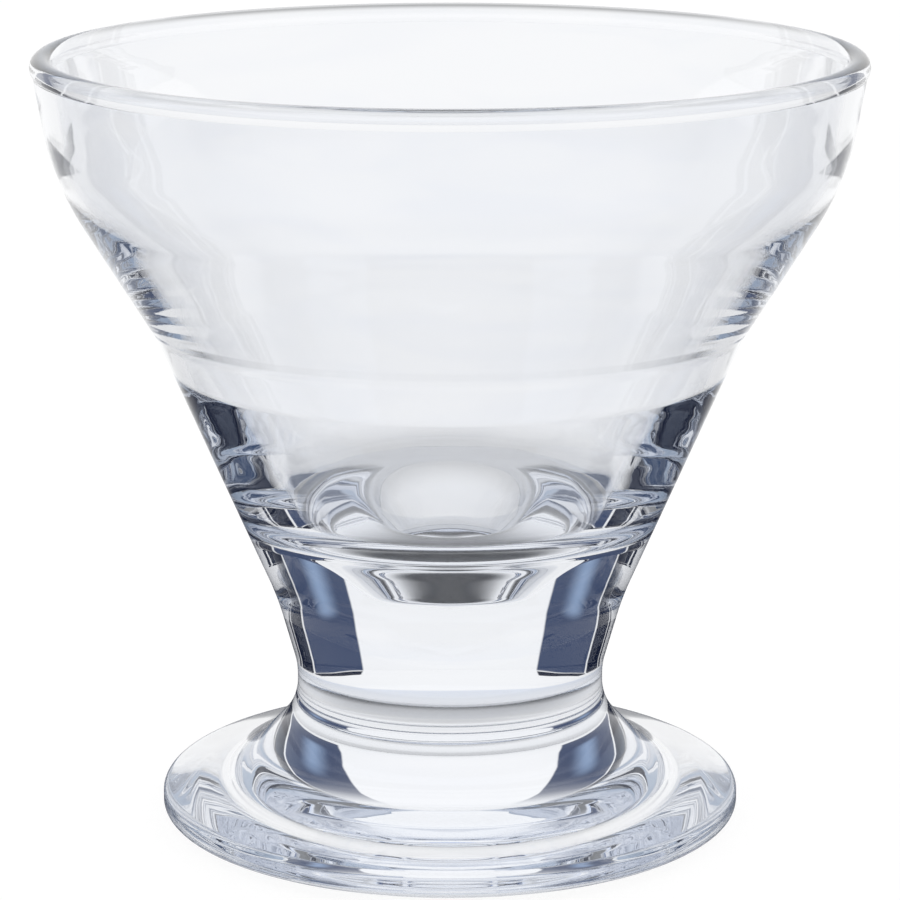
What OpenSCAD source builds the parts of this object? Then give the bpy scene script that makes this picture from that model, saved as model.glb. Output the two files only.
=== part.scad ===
// A footed dessert glass of clear pressed glass. A bowl shaped like a V, with a thick bottom, stands on
// a short solid stem and a flared round foot. The three pieces are sealed together at two level seams.
// The foot's standing ring lies at z = 0 and the glass is round about the z axis.

/* [Foot] */
// Diameter of the foot over its edge
foot_d = 73.8; // [68:0.2:80]
// Height of the foot, from the table to its seam with the stem
foot_h = 18; // [16:0.5:22]
// Height of the upper corner of the foot's edge
edge_h = 4; // [3:0.25:5]
// Height of the lower corner of the foot's edge
edge_lift = 1.2; // [0.6:0.1:1.6]
// Radius that rounds the upper corner of the edge
edge_top_bend = 1.2; // [0.5:0.1:1.4]
// Radius that rounds the lower corner of the edge
edge_low_bend = 1; // [0.4:0.1:1.4]
// Diameter of the standing ring over its outside
stand_d = 60; // [56:1:64]
// Width of the standing ring
stand_w = 2.5; // [1.5:0.25:4]
// Depth of the shallow hollow inside the standing ring
hollow_h = 0.6; // [0.3:0.1:1.2]
// Width of the slope from the standing ring up into the hollow
hollow_run = 1.5; // [0.5:0.25:4]
// Diameter at which the top of the foot bends up into the mound
mound_d = 53; // [50:0.5:56]
// Height of that bend
mound_h = 6.7; // [6:0.1:8]
// Radius of that bend
mound_bend = 11.5; // [6:0.5:14]

/* [Stem] */
// Diameter of the waist, where foot and stem meet
waist_d = 39; // [36:0.1:42]
// How far below that seam the mound bends into the waist
waist_drop = 3.8; // [3:0.1:5]
// Radius of the bend below the waist
waist_low_bend = 8.4; // [5:0.1:10]
// How far above that seam the waist bends out again
waist_rise = 1.7; // [1:0.1:3]
// Radius of the bend above the waist
waist_top_bend = 10.8; // [6:0.1:14]
// Height of the stem between its two seams
stem_h = 8; // [6.5:0.5:12]

/* [Bowl outside] */
// Height of the bowl above its seam with the stem
bowl_h = 72; // [68:0.5:78]
// Diameter at the corner where the neck opens into the cone
cone_d = 44.2; // [43:0.1:46]
// Height of that corner above the seam
cone_h = 3; // [2.5:0.1:4.5]
// Radius that softens that corner
cone_bend = 40; // [10:1:50]
// Diameter over the rim's bead
rim_d = 103; // [99:0.5:107]
// Thickness of the fire-polished bead at the rim
bead_d = 2.9; // [2.4:0.1:3.4]
// How far the bead stands proud of the wall below it, inside and outside
bead_proud = 0.36; // [0.1:0.02:0.6]
// Diameter at the corner where the cone opens into the flare
flare_d = 73.8; // [70:0.2:77]
// Height of that corner above the seam
flare_h = 37.2; // [34:0.2:40]
// Radius that softens that corner
flare_bend = 4; // [1:0.5:8]
// Diameter at the corner where the flare bends up towards the rim
shoulder_d = 98.1; // [94:0.1:99]
// How far that corner lies below the top of the rim
shoulder_drop = 15; // [13:0.5:18]
// Radius of the bend at that corner
shoulder_bend = 34.7; // [20:0.1:40]

/* [Bowl inside] */
// Thickness of the wall at the shoulder, measured level
shoulder_wall = 2.35; // [2:0.05:3]
// How far the inside corner of the shoulder lies below the outside one
shoulder_in_lower = 0.5; // [0:0.25:1.5]
// Radius of the bend at the inside corner of the shoulder
shoulder_in_bend = 20; // [8:1:24]
// Thickness of the wall at the corner of the flare, measured level to that corner
flare_wall = 2.45; // [2.1:0.05:2.8]
// How far the inside corner of the flare lies above the outside one
flare_in_rise = 1.3; // [0.8:0.1:1.8]
// Radius of the bend at the inside corner of the flare
flare_in_bend = 5; // [2:0.5:8]
// Thickness of the wall at the top of the cone, measured level
cone_wall = 2.7; // [2.3:0.05:3.1]
// How far the top of the inside cone lies below the outside corner of the flare
cone_in_drop = 4.2; // [3.2:0.1:5.2]
// Radius of the bend at the top of the inside cone
cone_in_bend = 6; // [3:0.5:10]
// Inside diameter at the bottom of the cone
well_d = 42; // [40.4:0.2:43]
// Height of the bottom of the cone above the seam
well_h = 13.5; // [12.5:0.25:15]
// Radius that rounds the bottom of the cone
well_bend = 8; // [3:0.5:10]
// Diameter of the rounded dimple in the middle of the floor
dimple_d = 21; // [19:0.5:22]
// Height of the edge of the dimple above the seam
dimple_h = 12.8; // [12.4:0.1:13]
// Radius that rounds the edge of the dimple
dimple_bend = 6; // [3:0.5:7]
// Diameter of the dimple at its bottom
dimple_low_d = 12; // [10:0.5:14]
// Height of the bottom of the dimple above the seam, at its corner
dimple_low_h = 7.6; // [7:0.1:9]
// Radius that rounds that corner
dimple_low_bend = 3; // [1:0.5:4]
// Thickness of the solid bottom, from the seam to the middle of the dimple
floor_h = 6.7; // [6:0.1:7.2]

/* [Hidden] */

stem_z = foot_h;
bowl_z = stem_z + stem_h;
top_z = bowl_z + bowl_h;
// Straight run of the neck from the waist up to the seam with the bowl, and its radius at that seam
neck_run = stem_h - waist_rise;
neck_r = waist_d / 2 + (cone_d - waist_d) / 2 * neck_run / (neck_run + cone_h);
bead_r = bead_d / 2;
// Angle on the bead, below its level, at which the wall runs into it
bead_angle = acos((bead_r - bead_proud) / bead_r);
glass_tint = [0.86, 0.9, 0.94, 0.5];
// Steps along each bend and round the axis
bend_steps = 10;
bead_steps = 24;
$fn = 96;

// Radius and height of a corner. A corner is [radius, height, radius of its bend].
function at(corner) = [corner[0], corner[1]];

function unit(v) = v / norm(v);

// A vector turned counter-clockwise
function turned(v, angle) = [
    v[0] * cos(angle) - v[1] * sin(angle),
    v[0] * sin(angle) + v[1] * cos(angle)
];

// Share of a side that an arc may take: half where the corner at the other end has an arc too
function reach_share(corner) = corner[2] > 0 ? 1 / 2 : 1;

// Points of the arc that rounds a corner, kept within its sides
function bend(before, corner, after) =
    let (
        back = at(before) - at(corner),
        ahead = at(after) - at(corner),
        half = acos(unit(back) * unit(ahead)) / 2,
        back_reach = norm(back) * reach_share(before),
        ahead_reach = norm(ahead) * reach_share(after),
        reach = min(corner[2] / tan(half), back_reach, ahead_reach),
        centre = at(corner) + unit(unit(back) + unit(ahead)) * reach / cos(half),
        start = at(corner) + unit(back) * reach - centre,
        turn = -sign(cross(back, ahead)) * (180 - 2 * half)
    )
    [for (i = [0 : bend_steps]) centre + turned(start, turn * i / bend_steps)];

// Outline through a list of corners, rounded where a corner has a bend
function path(corners) = [
    for (i = [0 : len(corners) - 1])
        each corners[i][2] > 0 ? bend(corners[i - 1], corners[i], corners[i + 1]) : [at(corners[i])]
];

// Round edge of the rim, from the outer wall over the top to the inner wall
function bead() = [
    for (i = [0 : bead_steps])
        let (angle = -bead_angle + (180 + 2 * bead_angle) * i / bead_steps)
        [rim_d / 2 - bead_r + bead_r * cos(angle), top_z - bead_r + bead_r * sin(angle)]
];

module turned_glass(outline) {
    color(glass_tint)
        rotate_extrude()
            polygon(outline);
}

// Flared disc that the glass stands on, with a mound that rises to the waist
module foot() {
    turned_glass(path([
        [0, hollow_h, 0],
        [stand_d / 2 - stand_w - hollow_run, hollow_h, 0],
        [stand_d / 2 - stand_w, 0, 0],
        [stand_d / 2, 0, 0],
        [foot_d / 2, edge_lift, edge_low_bend],
        [foot_d / 2, edge_h, edge_top_bend],
        [mound_d / 2, mound_h, mound_bend],
        [waist_d / 2, stem_z - waist_drop, waist_low_bend],
        [waist_d / 2, stem_z, 0],
        [0, stem_z, 0]
    ]));
}

// Short solid neck that widens from the waist to the bowl
module stem() {
    turned_glass(path([
        [0, stem_z, 0],
        [waist_d / 2, stem_z, 0],
        [waist_d / 2, stem_z + waist_rise, waist_top_bend],
        [neck_r, bowl_z, 0],
        [0, bowl_z, 0]
    ]));
}

// Open bowl with its solid bottom and the bead at its rim
module bowl() {
    shoulder_z = top_z - shoulder_drop;
    flare_z = bowl_z + flare_h;
    outer_lip = concat(bead()[0], [0]);
    inner_lip = concat(bead()[bead_steps], [0]);
    outside = path([
        [0, bowl_z, 0],
        [neck_r, bowl_z, 0],
        [cone_d / 2, bowl_z + cone_h, cone_bend],
        [flare_d / 2, flare_z, flare_bend],
        [shoulder_d / 2, shoulder_z, shoulder_bend],
        outer_lip
    ]);
    cone_in_h = flare_h - cone_in_drop;
    cone_share = (cone_in_h - cone_h) / (flare_h - cone_h);
    cone_in_r = cone_d / 2 + (flare_d - cone_d) / 2 * cone_share - cone_wall;
    inside = path([
        inner_lip,
        [shoulder_d / 2 - shoulder_wall, shoulder_z - shoulder_in_lower, shoulder_in_bend],
        [flare_d / 2 - flare_wall, flare_z + flare_in_rise, flare_in_bend],
        [cone_in_r, bowl_z + cone_in_h, cone_in_bend],
        [well_d / 2, bowl_z + well_h, well_bend],
        [dimple_d / 2, bowl_z + dimple_h, dimple_bend],
        [dimple_low_d / 2, bowl_z + dimple_low_h, dimple_low_bend],
        [0, bowl_z + floor_h, 0]
    ]);
    edge = [for (i = [1 : bead_steps - 1]) bead()[i]];
    turned_glass(concat(outside, edge, inside));
}

foot();
stem();
bowl();
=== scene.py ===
"""A footed dessert glass of clear pressed glass in a pale photographic studio.

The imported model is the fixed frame. The foot, the stem and the bowl are each turned round the axis by
Geometry Nodes from an outline of corners and bends, and sealed together at two level seams. The sizes
in the property groups are the model's own, in metres.
"""

import math

import bpy
from bpy.props import FloatProperty, FloatVectorProperty, IntProperty, PointerProperty
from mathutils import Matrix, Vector


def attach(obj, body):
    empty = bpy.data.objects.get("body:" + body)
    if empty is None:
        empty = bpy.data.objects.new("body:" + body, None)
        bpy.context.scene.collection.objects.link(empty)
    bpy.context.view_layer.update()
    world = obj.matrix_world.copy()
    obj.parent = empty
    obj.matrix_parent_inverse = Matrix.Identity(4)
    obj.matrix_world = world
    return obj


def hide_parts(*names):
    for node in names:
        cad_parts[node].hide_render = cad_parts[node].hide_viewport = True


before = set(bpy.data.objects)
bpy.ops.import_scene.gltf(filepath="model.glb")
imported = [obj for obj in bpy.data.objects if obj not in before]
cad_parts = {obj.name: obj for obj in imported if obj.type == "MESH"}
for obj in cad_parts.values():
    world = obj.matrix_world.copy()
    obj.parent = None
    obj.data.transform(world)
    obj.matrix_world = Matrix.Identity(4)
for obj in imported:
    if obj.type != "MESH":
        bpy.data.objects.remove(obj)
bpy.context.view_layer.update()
BODY = "root"
GLASS = "clear_pressed_glass"
SEAM = "fused_seam"
TURNING = "turned_glass"
BLACK = (0.0, 0.0, 0.0)
WHITE = (1.0, 1.0, 1.0)
# Points nearer to each other than this are one point, in metres
SAME_POINT = 1e-7
# A face nearer to a seam's height than this lies in the seam, in metres
SEAM_REACH = 1e-6
# Height given for a seam that a piece doesn't have
NO_SEAM = -1.0

bl_info = {
    "name": "Footed dessert glass",
    "version": (1, 0, 0),
    "blender": (4, 5, 0),
    "location": "3D View > Sidebar > Glass",
    "description": "Turns a footed dessert glass from its outline and sets it in a pale studio",
    "category": "Object",
}


# Kinds of property


def length(name, description, default):
    """A size in metres that the panel shows as a distance."""
    return FloatProperty(
        name=name, description=description, default=default, min=0.0, unit="LENGTH", subtype="DISTANCE",
        precision=5,
    )


def share(name, description, default):
    """A number from 0 to 1."""
    return FloatProperty(
        name=name, description=description, default=default, min=0.0, max=1.0, subtype="FACTOR",
    )


def angle(name, description, degrees):
    """An angle, given in degrees."""
    return FloatProperty(
        name=name, description=description, default=math.radians(degrees), subtype="ANGLE", unit="ROTATION",
    )


def number(name, description, default, low=0.0, high=1000.0):
    """A number without a unit."""
    return FloatProperty(name=name, description=description, default=default, min=low, max=high)


def count(name, description, default, low, high):
    """A whole number."""
    return IntProperty(name=name, description=description, default=default, min=low, max=high)


def shade(name, description, default):
    """A linear colour."""
    return FloatVectorProperty(
        name=name, description=description, default=default, size=3, min=0.0, max=1.0, subtype="COLOR",
    )


# Sizes, finishes and the studio


class FootSizes(bpy.types.PropertyGroup):
    """Sizes of the flared foot, in metres."""

    radius: length("Radius", "Radius of the foot over its edge", 0.0369)
    height: length("Height", "Height of the seam with the stem above the table", 0.018)
    edge_height: length("Edge height", "Height of the upper corner of the edge", 0.004)
    edge_lift: length("Edge lift", "Height of the lower corner of the edge", 0.0012)
    edge_top_bend: length("Upper edge bend", "Radius that rounds the upper corner of the edge", 0.0012)
    edge_low_bend: length("Lower edge bend", "Radius that rounds the lower corner of the edge", 0.001)
    ring_radius: length("Ring radius", "Outer radius of the standing ring", 0.030)
    ring_width: length("Ring width", "Width of the standing ring", 0.0025)
    hollow_height: length("Hollow", "Depth of the hollow inside the standing ring", 0.0006)
    hollow_run: length("Hollow slope", "Width of the slope up into the hollow", 0.0015)
    mound_radius: length("Mound radius", "Radius at which the top bends up into the mound", 0.0265)
    mound_height: length("Mound height", "Height of that bend", 0.0067)
    mound_bend: length("Mound bend", "Radius of that bend", 0.0115)


class StemSizes(bpy.types.PropertyGroup):
    """Sizes of the short solid stem, in metres."""

    waist_radius: length("Waist radius", "Radius where the foot and the stem meet", 0.0195)
    waist_drop: length("Waist drop", "How far below the seam the mound bends into the waist", 0.0038)
    waist_low_bend: length("Bend below", "Radius of the bend below the waist", 0.0084)
    waist_rise: length("Waist rise", "How far above the seam the waist bends out again", 0.0017)
    waist_top_bend: length("Bend above", "Radius of the bend above the waist", 0.0108)
    height: length("Height", "Height of the stem between its two seams", 0.008)


class BowlSizes(bpy.types.PropertyGroup):
    """Sizes of the bowl, in metres. Heights are measured from the seam with the stem, walls level."""

    height: length("Height", "Height of the bowl above its seam", 0.072)
    cone_radius: length("Cone radius", "Radius at the corner where the neck opens into the cone", 0.0221)
    cone_height: length("Cone height", "Height of that corner", 0.003)
    cone_bend: length("Cone bend", "Radius that softens that corner", 0.040)
    rim_radius: length("Rim radius", "Radius over the bead of the rim", 0.0515)
    bead_radius: length("Bead radius", "Radius of the fire-polished bead", 0.00145)
    bead_proud: length("Bead proud", "How far the bead stands proud of the wall below it", 0.00036)
    flare_radius: length("Flare radius", "Radius at the corner where the cone opens into the flare", 0.0369)
    flare_height: length("Flare height", "Height of that corner", 0.0372)
    flare_bend: length("Flare bend", "Radius that softens that corner", 0.004)
    shoulder_radius: length("Shoulder radius", "Radius at the corner below the rim", 0.04905)
    shoulder_height: length("Shoulder height", "Height of that corner", 0.057)
    shoulder_bend: length("Shoulder bend", "Radius of the bend at that corner", 0.0347)
    shoulder_wall: length("Shoulder wall", "Thickness of the wall at the shoulder", 0.00235)
    shoulder_in_lower: length("Inner shoulder drop", "How far it lies below the outer shoulder", 0.0005)
    shoulder_in_bend: length("Inner shoulder bend", "Radius of the bend at the inner shoulder", 0.020)
    flare_wall: length("Flare wall", "Thickness of the wall at the flare", 0.00245)
    flare_in_rise: length("Inner flare rise", "How far the inner corner lies above the outer one", 0.0013)
    flare_in_bend: length("Inner flare bend", "Radius of the bend there", 0.005)
    cone_wall: length("Cone wall", "Thickness of the wall at the top of the cone", 0.0027)
    cone_in_drop: length("Inner cone drop", "How far its top lies below the flare's outer corner", 0.0042)
    cone_in_bend: length("Inner cone bend", "Radius of the bend there", 0.006)
    well_radius: length("Well radius", "Inside radius at the bottom of the cone", 0.021)
    well_height: length("Well height", "Height of the bottom of the cone", 0.0135)
    well_bend: length("Well bend", "Radius that rounds the bottom of the cone", 0.008)
    dimple_radius: length("Dimple radius", "Radius of the dimple in the floor", 0.0105)
    dimple_height: length("Dimple height", "Height of the edge of the dimple", 0.0128)
    dimple_bend: length("Dimple bend", "Radius that rounds the edge of the dimple", 0.006)
    dimple_low_radius: length("Dimple floor radius", "Radius of the bottom of the dimple", 0.006)
    dimple_low_height: length("Dimple floor height", "Height of that corner", 0.0076)
    dimple_low_bend: length("Dimple floor bend", "Radius that rounds that corner", 0.003)
    floor_height: length("Floor height", "Thickness of the solid bottom at the middle", 0.0067)


class TurningSettings(bpy.types.PropertyGroup):
    """How finely the outlines are turned."""

    steps_round: count("Steps round", "Faces round the axis", 384, 24, 512)
    bend_steps: count("Bend steps", "Steps along a bend", 14, 2, 32)
    bead_steps: count("Bead steps", "Steps round the bead", 24, 6, 64)
    longest_step: length("Longest step", "Straight runs are cut into steps of this length", 0.0016)
    sharp_angle: angle("Sharp angle", "Edges that bend by more than this are drawn sharp", 24)


class GlassFinish(bpy.types.PropertyGroup):
    """Look of the clear pressed glass."""

    tint: shade("Tint", "Colour of the glass where light enters or leaves it", (0.972, 0.980, 0.995))
    tint_deep: shade("Streak tint", "Colour in the faint streaks of the glass", (0.955, 0.966, 0.988))
    streak_from: share("Streaks from", "Level of the streaks' noise at which they start", 0.42)
    streak_to: share("Streaks to", "Level of that noise at which they are full", 0.66)
    ior: number("IOR", "Index of refraction of soda-lime glass", 1.52, 1.3, 1.9)
    depth_colour: shade("Depth colour", "Colour that thick glass tends to", (0.5, 0.65, 0.92))
    depth_density: number("Depth density", "How fast thick glass takes that colour", 1.2)
    ripple: length("Ripple", "Depth of the faint waves that the mould leaves", 0.000025)
    ripple_scale: number("Ripple scale", "Waves per metre", 60.0, 1.0, 500.0)
    ripple_lie: number("Ripple lie", "How many times wider than high the waves are", 4.0, 1.0, 20.0)


class FloorSettings(bpy.types.PropertyGroup):
    """The white floor, as the camera sees it and as the glass shows it. Distances run from the axis."""

    size: length("Size", "Width of the floor", 6.0)
    drop: length("Drop", "How far the floor lies under the standing ring", 0.00008)
    tone: share("Tone", "Brightness of the floor's paper", 0.12)
    lift: share("Lift", "How far the floor is lifted towards white where the camera sees it", 0.91)
    glass_lift: share("Lift in the glass", "How far it is lifted where the glass shows it", 0.88)
    near_to: length("Near to", "Distance up to which the floor counts as near", 0.10)
    far_from: length("Far from", "Distance from which the floor counts as far", 0.15)
    # Painted sheen: where the glass shows it, the floor pales towards white at a flat angle and keeps these
    # darker tones seen from above.
    near_tone: share("Near tone", "Brightness of the near floor, seen from above", 0.70)
    near_flat_from: share("Near flat from", "Flatness of the view from which that tone pales", 0.12)
    near_flat_to: share("Near flat to", "Flatness of the view from which the near floor is white", 0.50)
    far_tone: share("Far tone", "Brightness of the far floor, seen from above", 0.20)
    far_flat_from: share("Far flat from", "Flatness of the view from which that tone pales", 0.15)
    far_flat_to: share("Far flat to", "Flatness of the view from which the far floor is white", 0.70)
    ring_from: length("Shade from", "Distance at which the glass's soft shade starts", 0.037)
    ring_fade: length("Shade fade", "Width over which it starts", 0.0074)
    ring_tone: share("Shade tone", "Brightness of that shade", 0.95)
    # Painted shade: where the glass shows it, the floor beside the glass is dimmed to the side tone.
    side_tone: share("Side tone", "Brightness of the floor beside the glass", 0.25)
    near_side_from: angle("Near side from", "Bearing where the near floor starts to dim", 15)
    near_side_to: angle("Near side to", "Bearing from which the near floor is dim", 45)
    far_side_from: angle("Far side from", "Bearing where the far floor starts to dim", 60)
    # Painted shadow: a dark spot on the floor under the stem, which only the glass shows.
    painted_shadow_radius: length("Spot radius", "Radius of the dark spot under the stem", 0.027)
    painted_shadow_fade: length("Spot fade", "Width over which that spot fades", 0.014)
    painted_shadow_tone: share("Spot tone", "Brightness of that spot", 0.12)
    # Painted reflection: the glass mirrors the floor dark nearby and white far ahead.
    painted_reflection_near: length("Mirror near", "Distance up to which the glass mirrors a dark floor", 0.10)
    painted_reflection_far: length("Mirror far", "Distance from which it mirrors a white floor ahead of it", 0.22)
    room_near: length("Room distance", "Distance at which the dark room's floor starts", 0.10)
    room_fade: length("Room fade", "Width over which it starts", 0.05)
    screen_near: length("Screen distance", "Distance at which the screens stand on the floor", 0.55)
    screen_fade: length("Screen fade", "Width over which the screens' foot fades", 0.055)


class StudioSettings(bpy.types.PropertyGroup):
    """What stands round the glass. Bearings run from straight behind it, the same to both sides."""

    screen_from: angle("Screens from", "Bearing where the two dark screens start", 23)
    screen_to: angle("Screens to", "Bearing where the screens end", 67)
    screen_low: angle("Screen foot", "Elevation of the lower edge of the screens", 0)
    screen_fade: angle("Screen fade", "Elevation from which the screens grow paler", 22)
    screen_top: angle("Screen top", "Elevation at which the screens have faded away", 55)
    edge_softness: angle("Edge softness", "Half of the width over which a screen's edge fades", 0.4)
    slits: FloatVectorProperty(
        name="Slits", description="Bearings of the slits in the screens", size=2, subtype="NONE",
        default=(math.radians(48.8), math.radians(63.2)),
    )
    slit_width: angle("Slit width", "Width of a slit", 1.4)
    screen_colour: shade("Screens", "Colour of the dark screens and the dark room", (0.008, 0.012, 0.030))
    screen_inner: shade("Inner screens", "Colour of the screens next to the backdrop", (0.056, 0.078, 0.15))
    inner_to: angle("Inner screens to", "Bearing where that colour ends", 49)
    glow_colour: shade("Glow", "Colour of the soft spot of light on each screen", (0.28, 0.38, 0.56))
    glow_bearing: angle("Glow bearing", "Bearing of that spot", 33)
    glow_height: angle("Glow height", "Elevation of that spot", 18)
    glow_radius: angle("Glow radius", "Angle over which that spot fades", 7)
    side_colour: shade("Side walls", "Colour of the dim walls beside the glass", (0.05, 0.08, 0.15))
    side_from: angle("Side walls from", "Bearing where the side walls start", 84)
    side_to: angle("Side walls to", "Bearing where the side walls end", 110)
    side_soft: angle("Side softness", "Half of the width over which a wall's upright edge fades", 3)
    side_top: angle("Side top", "Elevation of the upper edge of the side and rear walls", 36)
    rear_colour: shade("Rear walls", "Colour of the paler walls after the side walls", (0.40, 0.47, 0.57))
    room_from: angle("Dark room from", "Bearing where the dark room behind the camera starts", 140)
    room_top: angle("Room top", "Elevation of the upper edge of the dark room", 42)
    top_fade: angle("Top fade", "Height over which the walls' and the room's upper edges fade", 12)
    upper_colour: shade("Upper room", "Colour above and beside the screens", (0.60, 0.63, 0.69))
    ceiling_colour: shade("Ceiling", "Colour of the ceiling", (0.70, 0.72, 0.77))
    ceiling_from: angle("Ceiling from", "Elevation where the ceiling's colour starts", 38)
    ceiling_to: angle("Ceiling to", "Elevation from which the ceiling's colour is full", 62)
    deep_from: number("Deep from", "Light that turned more often than this counts as deep", 4.5)
    sheen_low: shade("Sheen", "Colour that the glass mirrors from the room", (0.14, 0.17, 0.24))
    sheen_from: angle("Sheen from", "Elevation where the mirrored room starts to brighten", 28)
    sheen_to: angle("Sheen to", "Elevation from which the glass mirrors a white ceiling light", 55)
    sheen_ahead: angle("Sheen ahead", "Bearing up to which the glass mirrors the white backdrop", 25)
    sheen_aside: angle("Sheen aside", "Bearing from which it mirrors the room alone", 85)


class CameraSettings(bpy.types.PropertyGroup):
    """The camera in front of the glass."""

    back: length("Distance", "Distance of the camera from the axis", 0.43395)
    height: length("Height", "Height of the camera above the table", 0.15407)
    pitch: angle("Pitch", "How far the camera looks down", 13.819742)
    lens_mm: number("Lens", "Focal length in mm", 141.45, 1.0)
    sensor_mm: number("Sensor", "Width of the sensor in mm", 36.0, 1.0)
    nearest: length("Nearest", "What is nearer than this isn't drawn", 0.01)
    bounces: count("Bounces", "How often light may turn inside the thick glass", 64, 4, 256)


# Outlines


def bend(before, corner, after, steps):
    """Points of the arc that rounds a corner. An arc at a side's other end keeps its half of the side."""
    at, radius = Vector(corner[:2]), corner[2]
    back, ahead = Vector(before[:2]) - at, Vector(after[:2]) - at
    half = back.angle(ahead) / 2
    back_reach = back.length * (0.5 if before[2] > 0 else 1)
    ahead_reach = ahead.length * (0.5 if after[2] > 0 else 1)
    reach = min(radius / math.tan(half), back_reach, ahead_reach)
    middle = (back.normalized() + ahead.normalized()).normalized()
    centre = at + middle * (reach / math.cos(half))
    start = at + back.normalized() * reach - centre
    side = 1 if back.x * ahead.y - back.y * ahead.x > 0 else -1
    turn = -side * (math.pi - 2 * half)
    points = []
    for i in range(steps + 1):
        cos, sin = math.cos(turn * i / steps), math.sin(turn * i / steps)
        points.append(centre + Vector((start.x * cos - start.y * sin, start.x * sin + start.y * cos)))
    return points


def rounded(corners, steps):
    """Outline through corners of (radius, height, bend), rounded where a corner has a bend."""
    points = []
    for i, corner in enumerate(corners):
        if corner[2] > 0:
            points += bend(corners[i - 1], corner, corners[i + 1], steps)
        else:
            points.append(Vector(corner[:2]))
    return points


def stepped(corners, settings):
    """Rounded outline through corners, with its long straight runs cut into short steps."""
    points = rounded(corners, settings.bend_steps)
    result = [points[0]]
    for start, end in zip(points, points[1:]):
        pieces = max(1, math.ceil((end - start).length / settings.longest_step))
        result += [start.lerp(end, k / pieces) for k in range(1, pieces + 1)]
    return result


def foot_corners(sizes):
    """Corners of the foot, from the middle of its hollow round the edge to its seam."""
    foot, stem = sizes.dessert_foot, sizes.dessert_stem
    inner_ring = foot.ring_radius - foot.ring_width
    return [
        (0, foot.hollow_height, 0),
        (inner_ring - foot.hollow_run, foot.hollow_height, 0),
        (inner_ring, 0, 0),
        (foot.ring_radius, 0, 0),
        (foot.radius, foot.edge_lift, foot.edge_low_bend),
        (foot.radius, foot.edge_height, foot.edge_top_bend),
        (foot.mound_radius, foot.mound_height, foot.mound_bend),
        (stem.waist_radius, foot.height - stem.waist_drop, stem.waist_low_bend),
        (stem.waist_radius, foot.height, 0),
        (0, foot.height, 0),
    ]


def neck_radius(sizes):
    """Radius at the seam of stem and bowl, on the straight run from the waist to the cone."""
    stem, bowl = sizes.dessert_stem, sizes.dessert_bowl
    run = stem.height - stem.waist_rise
    return stem.waist_radius + (bowl.cone_radius - stem.waist_radius) * run / (run + bowl.cone_height)


def bowl_seam(sizes):
    """Height of the seam of stem and bowl."""
    return sizes.dessert_foot.height + sizes.dessert_stem.height


def stem_corners(sizes):
    """Corners of the stem, from its lower seam to its upper one."""
    foot, stem = sizes.dessert_foot, sizes.dessert_stem
    return [
        (0, foot.height, 0),
        (stem.waist_radius, foot.height, 0),
        (stem.waist_radius, foot.height + stem.waist_rise, stem.waist_top_bend),
        (neck_radius(sizes), bowl_seam(sizes), 0),
        (0, bowl_seam(sizes), 0),
    ]


def rim_bead(bowl, seam, steps):
    """Points of the round edge of the rim, from the outer wall over the top to the inner wall."""
    dip = math.acos((bowl.bead_radius - bowl.bead_proud) / bowl.bead_radius)
    centre_r = bowl.rim_radius - bowl.bead_radius
    centre_z = seam + bowl.height - bowl.bead_radius
    turns = [-dip + (math.pi + 2 * dip) * i / steps for i in range(steps + 1)]
    return [
        (centre_r + bowl.bead_radius * math.cos(turn), centre_z + bowl.bead_radius * math.sin(turn), 0)
        for turn in turns
    ]


def bowl_outline(sizes, settings):
    """Points of the bowl, from the middle of its seam up the outside, over the bead and down the inside."""
    bowl, seam = sizes.dessert_bowl, bowl_seam(sizes)
    bead = rim_bead(bowl, seam, settings.bead_steps)
    shoulder_z = seam + bowl.shoulder_height
    flare_z = seam + bowl.flare_height
    outside = [
        (0, seam, 0),
        (neck_radius(sizes), seam, 0),
        (bowl.cone_radius, seam + bowl.cone_height, bowl.cone_bend),
        (bowl.flare_radius, flare_z, bowl.flare_bend),
        (bowl.shoulder_radius, shoulder_z, bowl.shoulder_bend),
        bead[0],
    ]
    cone_share = 1 - bowl.cone_in_drop / (bowl.flare_height - bowl.cone_height)
    cone_out_radius = bowl.cone_radius + (bowl.flare_radius - bowl.cone_radius) * cone_share
    shoulder_in_radius = bowl.shoulder_radius - bowl.shoulder_wall
    inside = [
        bead[-1],
        (shoulder_in_radius, shoulder_z - bowl.shoulder_in_lower, bowl.shoulder_in_bend),
        (bowl.flare_radius - bowl.flare_wall, flare_z + bowl.flare_in_rise, bowl.flare_in_bend),
        (cone_out_radius - bowl.cone_wall, flare_z - bowl.cone_in_drop, bowl.cone_in_bend),
        (bowl.well_radius, seam + bowl.well_height, bowl.well_bend),
        (bowl.dimple_radius, seam + bowl.dimple_height, bowl.dimple_bend),
        (bowl.dimple_low_radius, seam + bowl.dimple_low_height, bowl.dimple_low_bend),
        (0, seam + bowl.floor_height, 0),
    ]
    edge = [Vector(point[:2]) for point in bead[1:-1]]
    return stepped(outside, settings) + edge + stepped(inside, settings)


# Nodes


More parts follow.
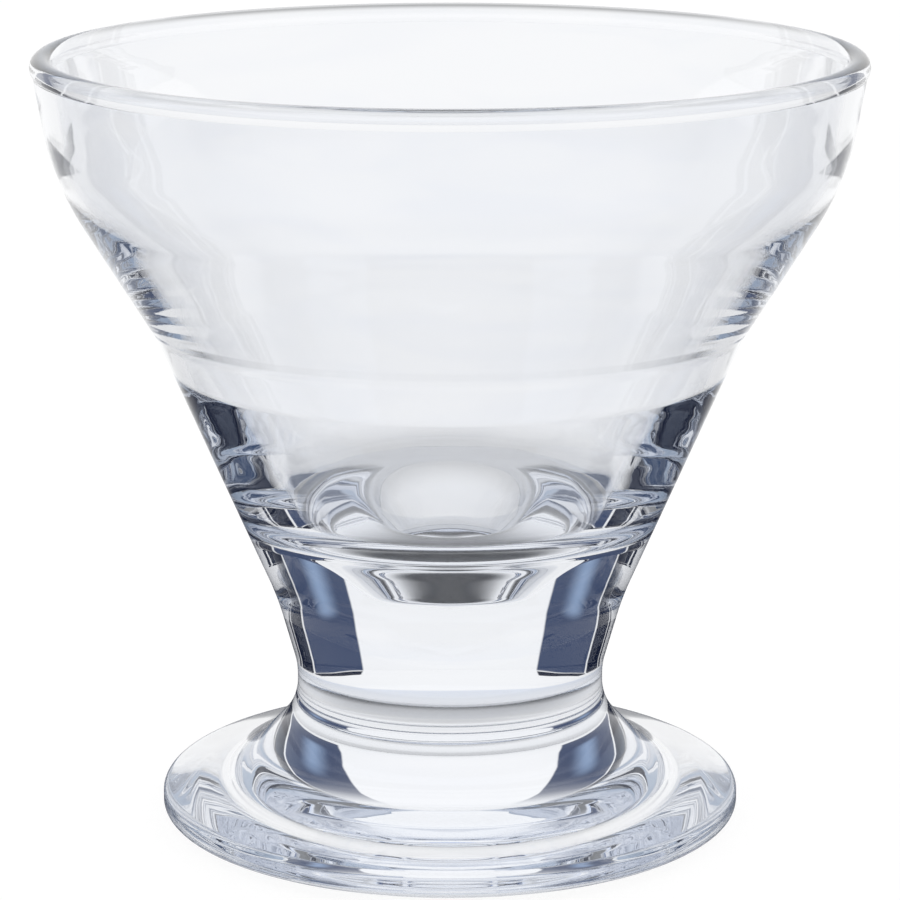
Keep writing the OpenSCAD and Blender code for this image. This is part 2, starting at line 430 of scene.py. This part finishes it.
class Nodes:
    """Adds nodes to a tree: settings come first, then the values or links of the sockets."""

    def __init__(self, tree):
        self.tree = tree

    def add(self, kind, settings=None, **sockets):
        node = self.tree.nodes.new(kind)
        for name, value in (settings or {}).items():
            setattr(node, name, value)
        for name, value in sockets.items():
            self.feed(self.socket(node, name), value)
        return node

    def socket(self, node, name):
        """An input by its label with underscores for spaces, or by its number as n0, n1 and so on."""
        if name[0] == "n" and name[1:].isdigit():
            return node.inputs[int(name[1:])]
        return node.inputs[name.replace("_", " ")]

    def feed(self, socket, value):
        if isinstance(value, Value):
            value = value.socket
        if isinstance(value, bpy.types.NodeSocket):
            self.tree.links.new(value, socket)
        elif value is not None:
            socket.default_value = value

    def value(self, socket):
        return Value(self, socket)

    def parts(self, vector):
        """The three numbers of a vector."""
        return [self.value(axis) for axis in self.add("ShaderNodeSeparateXYZ", Vector=vector).outputs]

    def math(self, operation, first, second=None):
        node = self.add("ShaderNodeMath", {"operation": operation}, n0=first, n1=second)
        return self.value(node.outputs[0])

    def blend(self, amount, first, second):
        """The first colour where amount is 0, the second where it is 1."""
        ends = {
            name: colour if isinstance(colour, bpy.types.NodeSocket) else (*colour, 1.0)
            for name, colour in (("n6", first), ("n7", second))
        }
        return self.add("ShaderNodeMix", {"data_type": "RGBA"}, n0=amount, **ends).outputs[2]


class Value:
    """A number socket that takes part in expressions; each operator adds its Math node."""

    def __init__(self, nodes, socket):
        self.nodes, self.socket = nodes, socket

    def math(self, operation, other=None):
        return self.nodes.math(operation, self, other)

    def __add__(self, other):
        return self.nodes.math("ADD", self, other)

    def __radd__(self, other):
        return self.nodes.math("ADD", other, self)

    def __sub__(self, other):
        return self.nodes.math("SUBTRACT", self, other)

    def __rsub__(self, other):
        return self.nodes.math("SUBTRACT", other, self)

    def __mul__(self, other):
        return self.nodes.math("MULTIPLY", self, other)

    def __rmul__(self, other):
        return self.nodes.math("MULTIPLY", other, self)

    def __gt__(self, other):
        return self.nodes.math("GREATER_THAN", self, other)

    def __lt__(self, other):
        return self.nodes.math("LESS_THAN", self, other)

    def step(self, start, end):
        """0 below start, 1 above end, smooth between."""
        node = self.nodes.add(
            "ShaderNodeMapRange", {"interpolation_type": "SMOOTHSTEP"},
            Value=self, From_Min=start, From_Max=end,
        )
        return self.nodes.value(node.outputs[0])

    def around(self, place, soft):
        """0 below a place, 1 above it, with a soft edge."""
        return self.step(place - soft, place + soft)

    def between(self, start, end, soft):
        """1 from start to end, with soft edges."""
        return self.around(start, soft) * (1 - self.around(end, soft))

    def dimmed(self, tone):
        """1 where this is 0, and the tone where it is 1."""
        return 1 - self * (1 - tone)


# Materials of the glass


def empty_material(name):
    """A material without nodes, and the means to add them."""
    material = bpy.data.materials.get(name) or bpy.data.materials.new(name)
    material.use_nodes = True
    material.node_tree.nodes.clear()
    return material, Nodes(material.node_tree)


def depth(nodes, finish):
    """The faint colour that clear glass takes with its thickness."""
    return nodes.add(
        "ShaderNodeVolumeAbsorption", Color=(*finish.depth_colour, 1.0), Density=finish.depth_density,
    ).outputs[0]


def clear_glass(finish):
    """Clear soda-lime glass: a faint cool tint, a smooth fire polish and the faint waves of the mould."""
    _, nodes = empty_material(GLASS)
    place = nodes.add("ShaderNodeTexCoord").outputs["Object"]
    lying = nodes.add("ShaderNodeMapping", Vector=place, Scale=(1.0, 1.0, finish.ripple_lie)).outputs[0]
    waves = nodes.add(
        "ShaderNodeTexNoise", {"noise_dimensions": "3D"},
        Vector=lying, Scale=finish.ripple_scale, Detail=1.0, Roughness=0.4,
    )
    streaks = nodes.add(
        "ShaderNodeTexNoise", {"noise_dimensions": "3D"},
        Vector=lying, Scale=finish.ripple_scale / 2, Detail=2.0, Roughness=0.5, Distortion=1.5,
    )
    bump = nodes.add("ShaderNodeBump", Height=waves.outputs[0], Distance=finish.ripple, Strength=1.0)
    streaked = nodes.value(streaks.outputs[0]).step(finish.streak_from, finish.streak_to)
    surface = nodes.add(
        "ShaderNodeBsdfPrincipled",
        Base_Color=nodes.blend(streaked, finish.tint, finish.tint_deep),
        Roughness=0.0, IOR=finish.ior, Transmission_Weight=1.0, Normal=bump.outputs[0],
    )
    nodes.add("ShaderNodeOutputMaterial", Surface=surface.outputs[0], Volume=depth(nodes, finish))


def fused_seam(finish):
    """A seam where hot glass was sealed to glass: light goes straight through."""
    _, nodes = empty_material(SEAM)
    surface = nodes.add("ShaderNodeBsdfTransparent", Color=(*WHITE, 1.0))
    nodes.add("ShaderNodeOutputMaterial", Surface=surface.outputs[0], Volume=depth(nodes, finish))


# Turning


def turning_tree():
    """Turns the outline that the modifier is on round the z axis, closes it and gives it its glass."""
    tree = bpy.data.node_groups.new(TURNING, "GeometryNodeTree")
    inputs = {
        "Outline": "Geometry", "Steps Round": "Int", "Lower Seam": "Float", "Upper Seam": "Float",
        "Sharp Angle": "Float", "Glass": "Material", "Seam": "Material",
    }
    for name, kind in inputs.items():
        tree.interface.new_socket(name, in_out="INPUT", socket_type="NodeSocket" + kind)
    tree.interface.new_socket("Geometry", in_out="OUTPUT", socket_type="NodeSocketGeometry")
    nodes = Nodes(tree)
    given = nodes.add("NodeGroupInput").outputs
    size = nodes.add("GeometryNodeAttributeDomainSize", Geometry=given["Outline"])
    points = nodes.value(size.outputs["Point Count"])
    position = nodes.add("GeometryNodeInputPosition").outputs[0]
    grid = nodes.add(
        "GeometryNodeMeshGrid",
        Size_X=1.0, Size_Y=1.0, Vertices_X=points, Vertices_Y=nodes.value(given["Steps Round"]) + 1,
    )
    across, up, _ = nodes.parts(position)
    along = ((across + 0.5) * (points - 1)).math("ROUND")
    turn = (up + 0.5) * math.tau
    sample = nodes.add(
        "GeometryNodeSampleIndex", {"data_type": "FLOAT_VECTOR", "domain": "POINT"},
        Geometry=given["Outline"], Value=position, Index=along,
    )
    radius, _, height = nodes.parts(sample.outputs[0])
    turned = nodes.add(
        "ShaderNodeCombineXYZ", X=radius * turn.math("COSINE"), Y=radius * turn.math("SINE"), Z=height,
    )
    placed = nodes.add("GeometryNodeSetPosition", Geometry=grid.outputs[0], Position=turned.outputs[0])
    closed = nodes.add("GeometryNodeMergeByDistance", Geometry=placed.outputs[0], Distance=SAME_POINT)
    smooth = nodes.add(
        "GeometryNodeSetShadeSmooth", {"domain": "FACE"}, Geometry=closed.outputs[0], Shade_Smooth=True,
    )
    bent = nodes.value(nodes.add("GeometryNodeInputMeshEdgeAngle").outputs[0])
    sharp = nodes.add(
        "GeometryNodeSetShadeSmooth", {"domain": "EDGE"},
        Geometry=smooth.outputs[0], Selection=bent > given["Sharp Angle"], Shade_Smooth=False,
    )
    real = nodes.add("GeometryNodeRealizeInstances", Geometry=sharp.outputs[0])
    glass = nodes.add("GeometryNodeSetMaterial", Geometry=real.outputs[0], Material=given["Glass"])
    level = nodes.parts(position)[2]
    on_lower = (level - given["Lower Seam"]).math("ABSOLUTE") < SEAM_REACH
    on_upper = (level - given["Upper Seam"]).math("ABSOLUTE") < SEAM_REACH
    seams = nodes.add(
        "GeometryNodeSetMaterial",
        Geometry=glass.outputs[0], Selection=on_lower.math("MAXIMUM", on_upper), Material=given["Seam"],
    )
    nodes.add("NodeGroupOutput", Geometry=seams.outputs[0])
    return tree


def input_name(tree, name):
    """Identifier of a tree's input, which a modifier's value is set by."""
    return next(
        item.identifier for item in tree.interface.items_tree
        if item.name == name and item.in_out == "INPUT"
    )


def turned_piece(name, outline, lower_seam, upper_seam, settings):
    """A closed glass piece, turned from an outline of (radius, height) points that runs from axis to axis."""
    tree = bpy.data.node_groups.get(TURNING) or turning_tree()
    line = bpy.data.meshes.new(name + "_outline")
    line.from_pydata(
        [(p.x, 0.0, p.y) for p in outline], [(i, i + 1) for i in range(len(outline) - 1)], [],
    )
    holder = bpy.data.objects.new(name + "_outline", line)
    bpy.context.scene.collection.objects.link(holder)
    modifier = holder.modifiers.new("turning", "NODES")
    modifier.node_group = tree
    values = {
        "Steps Round": settings.steps_round,
        "Lower Seam": lower_seam,
        "Upper Seam": upper_seam,
        "Sharp Angle": settings.sharp_angle,
        "Glass": bpy.data.materials[GLASS],
        "Seam": bpy.data.materials[SEAM],
    }
    for label, value in values.items():
        modifier[input_name(tree, label)] = value
    depsgraph = bpy.context.evaluated_depsgraph_get()
    mesh = bpy.data.meshes.new_from_object(holder.evaluated_get(depsgraph))
    holder.modifiers.remove(modifier)
    bpy.data.objects.remove(holder)
    bpy.data.meshes.remove(line)
    mesh.name = name
    if len(mesh.polygons) == 0:
        raise RuntimeError(f"{name}: the turning gave no faces")
    if signed_volume(mesh) < 0:
        mesh.flip_normals()
    piece = bpy.data.objects.new(name, mesh)
    bpy.context.scene.collection.objects.link(piece)
    return piece


def signed_volume(mesh):
    """Volume inside a closed mesh, below zero where its faces point inwards."""
    mesh.calc_loop_triangles()
    points = [v.co for v in mesh.vertices]
    return sum(
        points[t.vertices[0]].cross(points[t.vertices[1]]).dot(points[t.vertices[2]])
        for t in mesh.loop_triangles
    ) / 6


def settle(piece, node):
    """The finished piece rides on the body and stands for its CAD node."""
    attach(piece, BODY)
    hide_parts(node)


# The studio


def bearing_of(x, y):
    """Angle from straight behind the glass, the same to both sides."""
    return x.math("ABSOLUTE").math("ARCTAN2", y)


def rays(nodes):
    """1 for light that goes to the camera, through the glass, and off the glass as off a mirror.

    What smooth glass lets through counts as glossy too, so that is taken off.
    """
    ray = nodes.add("ShaderNodeLightPath").outputs
    straight, through = nodes.value(ray["Is Camera Ray"]), nodes.value(ray["Is Transmission Ray"])
    return straight, through, nodes.value(ray["Is Glossy Ray"]) * (1 - through)


def deep_light(nodes, turns):
    """1 for light that turned more often than that inside the glass, 0 for light straight through."""
    ray = nodes.add("ShaderNodeLightPath").outputs
    return nodes.value(ray["Ray Depth"]) > turns


def screen_mask(bearing, studio):
    """1 at the bearings of the two dark screens, with their slits."""
    soft = studio.edge_softness
    screens = bearing.between(studio.screen_from, studio.screen_to, soft)
    for slit in studio.slits:
        half = studio.slit_width / 2
        screens = screens * (1 - bearing.between(slit - half, slit + half, soft))
    return screens


def studio_colour(nodes, bearing, height, studio):
    """What the glass shows of the studio in each direction.

    Ahead stands the white backdrop, with a dark screen on each side of it. Only the light that turned often
    in thick glass meets the dim walls beside the glass, the ceiling and the dark room behind the camera, so
    that the thin walls stay clear from every side.
    """
    soft = studio.edge_softness
    # the world's ray depth is one higher than that of a surface at the same place on the way
    deep = deep_light(nodes, studio.deep_from + 1)
    aside = bearing.step(studio.screen_to, studio.side_from)
    ceiling = height.step(studio.ceiling_from, studio.ceiling_to)
    colour = nodes.blend(aside * deep, WHITE, studio.upper_colour)
    colour = nodes.blend(ceiling * deep, colour, studio.ceiling_colour)
    upright = height.around(studio.screen_low, soft)
    low = (1 - height.step(studio.side_top - studio.top_fade, studio.side_top)) * upright * deep
    side = bearing.between(studio.side_from, studio.side_to, studio.side_soft) * low
    rear = bearing.between(studio.side_to, studio.room_from, studio.side_soft) * low
    room = bearing.around(studio.room_from, soft) * upright * deep
    room = room * (1 - height.step(studio.room_top - studio.top_fade, studio.room_top))
    colour = nodes.blend(side, colour, studio.side_colour)
    colour = nodes.blend(rear, colour, studio.rear_colour)
    colour = nodes.blend(room, colour, studio.screen_colour)
    across, up = bearing - studio.glow_bearing, height - studio.glow_height
    glow = 1 - (across * across + up * up).math("SQRT").step(0.0, studio.glow_radius)
    inner = 1 - bearing.around(studio.inner_to, soft)
    paint = nodes.blend(inner, studio.screen_colour, studio.screen_inner)
    paint = nodes.blend(glow, paint, studio.glow_colour)
    screens = screen_mask(bearing, studio) * upright
    screens = screens * (1 - height.step(studio.screen_fade, studio.screen_top))
    return nodes.blend(screens, colour, paint)


def studio_world(studio):
    """White all round for the camera and the floor.

    Through the glass shows the studio, and off the glass a darker room with a light ceiling.
    """
    world = bpy.data.worlds.new("studio")
    world.use_nodes = True
    world.node_tree.nodes.clear()
    nodes = Nodes(world.node_tree)
    x, y, z = nodes.parts(nodes.add("ShaderNodeTexCoord").outputs["Generated"])
    height, bearing = z.math("ARCSINE"), bearing_of(x, y)
    _, through, mirrored = rays(nodes)
    bright = height.step(studio.sheen_from, studio.sheen_to)
    bright = bright.math("MAXIMUM", 1 - bearing.step(studio.sheen_ahead, studio.sheen_aside))
    sheen = nodes.blend(bright, studio.sheen_low, WHITE)
    seen = nodes.blend(through, WHITE, studio_colour(nodes, bearing, height, studio))
    shown = nodes.blend(mirrored, seen, sheen)
    light = nodes.add("ShaderNodeBackground", Color=shown, Strength=1.0)
    nodes.add("ShaderNodeOutputWorld", Surface=light.outputs[0])
    bpy.context.scene.world = world


def floor_seen(nodes, floor, studio, away, bearing):
    """Brightness of the floor as the glass shows it, from 0 to 1.

    A painted sheen makes it paler at a flat angle than from above. Painted shade dims it in a soft ring round
    the glass and beside the glass, and a painted shadow darkens it under the stem.
    """
    flat = nodes.value(nodes.add("ShaderNodeLayerWeight", Blend=0.5).outputs["Facing"])
    far = away.step(floor.near_to, floor.far_from)
    ring = away.step(floor.ring_from, floor.ring_from + floor.ring_fade) * (1 - far)
    near_steep = 1 - flat.step(floor.near_flat_from, floor.near_flat_to)
    far_steep = 1 - flat.step(floor.far_flat_from, floor.far_flat_to)
    # painted sheen, paler at a flat angle, with the painted shade of the ring near the glass
    near_painted_sheen_and_shade = near_steep.dimmed(floor.near_tone) * ring.dimmed(floor.ring_tone)
    painted_sheen_and_shade = near_painted_sheen_and_shade * (1 - far) + far_steep.dimmed(floor.far_tone) * far
    # painted shade beside the glass
    aside = bearing.step(floor.near_side_from, floor.near_side_to) * ring
    aside = aside.math("MAXIMUM", bearing.step(floor.far_side_from, studio.side_from) * far)
    aside = aside * deep_light(nodes, studio.deep_from)
    # painted shadow under the stem
    under = 1 - away.step(floor.painted_shadow_radius - floor.painted_shadow_fade, floor.painted_shadow_radius)
    return painted_sheen_and_shade * aside.dimmed(floor.side_tone) * under.dimmed(floor.painted_shadow_tone)


def floor_material(floor, studio):
    """Pale matt paper that keeps the glass's soft shadow and is lifted to white where it is seen.

    The glass mirrors a painted reflection of it, dark nearby and white far ahead. Through the glass it shows
    a painted sheen and painted shade, and the screens and the dark room stand on it.
    """
    material, nodes = empty_material("pale_floor")
    paper = nodes.add("ShaderNodeBsdfDiffuse", Color=(floor.tone, floor.tone, floor.tone, 1.0))
    x, y, _ = nodes.parts(nodes.add("ShaderNodeTexCoord").outputs["Object"])
    away, bearing = (x * x + y * y).math("SQRT"), bearing_of(x, y)
    straight, through, mirrored = rays(nodes)
    room = bearing.step(studio.room_from, studio.room_from + studio.edge_softness)
    room = room * away.step(floor.room_near, floor.room_near + floor.room_fade)
    room = room * deep_light(nodes, studio.deep_from)
    screens = screen_mask(bearing, studio)
    screens = screens * away.step(floor.screen_near, floor.screen_near + floor.screen_fade)
    # painted reflection: the glass mirrors the floor white far ahead and dark nearby
    ahead = away.step(floor.painted_reflection_near, floor.painted_reflection_far) * mirrored
    ahead = ahead * (1 - bearing.step(studio.sheen_ahead, studio.sheen_aside))
    # through the glass, the lift carries the painted sheen and painted shade of floor_seen
    shown = through * floor_seen(nodes, floor, studio, away, bearing) * floor.glass_lift
    lift = (straight * floor.lift).math("MAXIMUM", shown)
    glow = nodes.add("ShaderNodeEmission", Color=nodes.blend(lift, BLACK, WHITE), Strength=1.0)
    lifted = nodes.add("ShaderNodeAddShader", n0=paper.outputs[0], n1=glow.outputs[0])
    # emission of the screens and the dark room on the floor, and of the painted reflection
    dark = nodes.add(
        "ShaderNodeEmission", Color=nodes.blend(ahead, studio.screen_colour, WHITE), Strength=1.0,
    )
    veiled = (screens.math("MAXIMUM", room) * through).math("MAXIMUM", mirrored)
    surface = nodes.add("ShaderNodeMixShader", n0=veiled, n1=lifted.outputs[0], n2=dark.outputs[0])
    nodes.add("ShaderNodeOutputMaterial", Surface=surface.outputs[0])
    return material


def lay_floor(settings, studio):
    """The level floor under the glass."""
    half = settings.size / 2
    corners = [(-half, -half), (half, -half), (half, half), (-half, half)]
    mesh = bpy.data.meshes.new("floor")
    mesh.from_pydata([(x, y, -settings.drop) for x, y in corners], [], [(0, 1, 2, 3)])
    mesh.materials.append(floor_material(settings, studio))
    floor = bpy.data.objects.new("floor", mesh)
    bpy.context.scene.collection.objects.link(floor)


def place_camera(settings):
    """The camera in front of the glass, looking a little down, and how far it follows the light."""
    scene = bpy.context.scene
    camera = bpy.data.cameras.new("camera")
    camera.sensor_width = settings.sensor_mm
    camera.lens = settings.lens_mm
    camera.clip_start = settings.nearest
    holder = bpy.data.objects.new("camera", camera)
    holder.location = (0.0, -settings.back, settings.height)
    holder.rotation_euler = (math.pi / 2 - settings.pitch, 0.0, 0.0)
    scene.collection.objects.link(holder)
    scene.camera = holder
    scene.view_settings.view_transform = "Standard"
    cycles = scene.cycles
    cycles.max_bounces = cycles.glossy_bounces = cycles.transmission_bounces = settings.bounces


# Operators


class DESSERT_OT_finishes(bpy.types.Operator):
    """Make the clear glass and the fused seam."""

    bl_idname = "dessert.finishes"
    bl_label = "Glass finishes"

    def execute(self, context):
        clear_glass(context.scene.dessert_finish)
        fused_seam(context.scene.dessert_finish)
        return {"FINISHED"}


class DESSERT_OT_foot(bpy.types.Operator):
    """Turn the flared foot with its mound."""

    bl_idname = "dessert.foot"
    bl_label = "Foot"

    def execute(self, context):
        scene, settings = context.scene, context.scene.dessert_turning
        outline = stepped(foot_corners(scene), settings)
        piece = turned_piece("glass_foot", outline, NO_SEAM, scene.dessert_foot.height, settings)
        settle(piece, "foot")
        return {"FINISHED"}


class DESSERT_OT_stem(bpy.types.Operator):
    """Turn the short solid stem."""

    bl_idname = "dessert.stem"
    bl_label = "Stem"

    def execute(self, context):
        scene, settings = context.scene, context.scene.dessert_turning
        outline = stepped(stem_corners(scene), settings)
        piece = turned_piece("glass_stem", outline, scene.dessert_foot.height, bowl_seam(scene), settings)
        settle(piece, "stem")
        return {"FINISHED"}


class DESSERT_OT_bowl(bpy.types.Operator):
    """Turn the open bowl with its solid bottom and the bead of its rim."""

    bl_idname = "dessert.bowl"
    bl_label = "Bowl"

    def execute(self, context):
        scene, settings = context.scene, context.scene.dessert_turning
        outline = bowl_outline(scene, settings)
        piece = turned_piece("glass_bowl", outline, bowl_seam(scene), NO_SEAM, settings)
        settle(piece, "bowl")
        return {"FINISHED"}


class DESSERT_OT_studio(bpy.types.Operator):
    """Set up the floor, the world with its soft light and the camera."""

    bl_idname = "dessert.studio"
    bl_label = "Studio"

    def execute(self, context):
        scene = context.scene
        lay_floor(scene.dessert_floor, scene.dessert_studio)
        studio_world(scene.dessert_studio)
        place_camera(scene.dessert_camera)
        return {"FINISHED"}


GROUPS = {
    "dessert_finish": GlassFinish,
    "dessert_turning": TurningSettings,
    "dessert_foot": FootSizes,
    "dessert_stem": StemSizes,
    "dessert_bowl": BowlSizes,
    "dessert_floor": FloorSettings,
    "dessert_studio": StudioSettings,
    "dessert_camera": CameraSettings,
}
# Each operator, with the groups of properties that the panel shows under it
STEPS = [
    (DESSERT_OT_finishes, ("dessert_finish", "dessert_turning")),
    (DESSERT_OT_foot, ("dessert_foot",)),
    (DESSERT_OT_stem, ("dessert_stem",)),
    (DESSERT_OT_bowl, ("dessert_bowl",)),
    (DESSERT_OT_studio, ("dessert_floor", "dessert_studio", "dessert_camera")),
]


class DESSERT_PT_panel(bpy.types.Panel):
    """Lists the pieces of the glass and the studio."""

    bl_label = "Dessert glass"
    bl_idname = "DESSERT_PT_panel"
    bl_space_type = "VIEW_3D"
    bl_region_type = "UI"
    bl_category = "Glass"

    def draw(self, context):
        for operator, groups in STEPS:
            self.layout.operator(operator.bl_idname)
            for group in groups:
                column = self.layout.column()
                for name in GROUPS[group].__annotations__:
                    column.prop(getattr(context.scene, group), name)


def register():
    for name, group in GROUPS.items():
        bpy.utils.register_class(group)
        setattr(bpy.types.Scene, name, PointerProperty(type=group))
    for operator, _ in STEPS:
        bpy.utils.register_class(operator)
    bpy.utils.register_class(DESSERT_PT_panel)


def unregister():
    bpy.utils.unregister_class(DESSERT_PT_panel)
    for operator, _ in reversed(STEPS):
        bpy.utils.unregister_class(operator)
    for name, group in GROUPS.items():
        delattr(bpy.types.Scene, name)
        bpy.utils.unregister_class(group)


def main():
    register()
    bpy.ops.dessert.finishes()
    bpy.ops.dessert.foot()
    bpy.ops.dessert.stem()
    bpy.ops.dessert.bowl()
    bpy.ops.dessert.studio()


if __name__ == "__main__":
    main()
